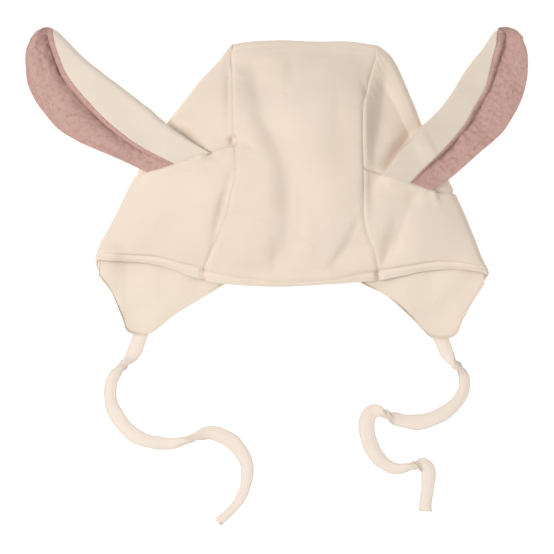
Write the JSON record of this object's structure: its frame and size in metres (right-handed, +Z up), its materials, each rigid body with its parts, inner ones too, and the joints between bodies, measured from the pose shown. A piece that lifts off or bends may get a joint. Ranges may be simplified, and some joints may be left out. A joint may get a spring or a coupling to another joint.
{
  "type": "baby hat with ears",
  "caption": "Lined baby hat with a centre band, side panels, ear flaps with ties, and folded animal ears sewn into the side seams, lying flat on its back.",
  "frame": {"origin": "on the resting surface under the middle of the hat and its ears, seen from above", "axes": "+X to the side with the right ear, +Y from the opening to the crown, +Z up from the back layer to the front layer"},
  "size_m": [0.2744, 0.2745, 0.0286],
  "materials": {
    "cream_jersey": "matt cotton jersey",
    "pale_lining": "matt cotton jersey",
    "pink_muslin": "crinkled double muslin"
  },
  "bodies": {
    "root": {"crown_band": "cream_jersey", "lining_band": "pale_lining", "side_lower_left": "cream_jersey", "side_top_left": "cream_jersey", "lining_side_left": "pale_lining", "ear_back_left": "cream_jersey", "ear_front_left": "pink_muslin", "tie_left": "cream_jersey", "side_lower_right": "cream_jersey", "side_top_right": "cream_jersey", "lining_side_right": "pale_lining", "ear_back_right": "cream_jersey", "ear_front_right": "pink_muslin", "tie_right": "cream_jersey"}
  },
  "joints": []
}
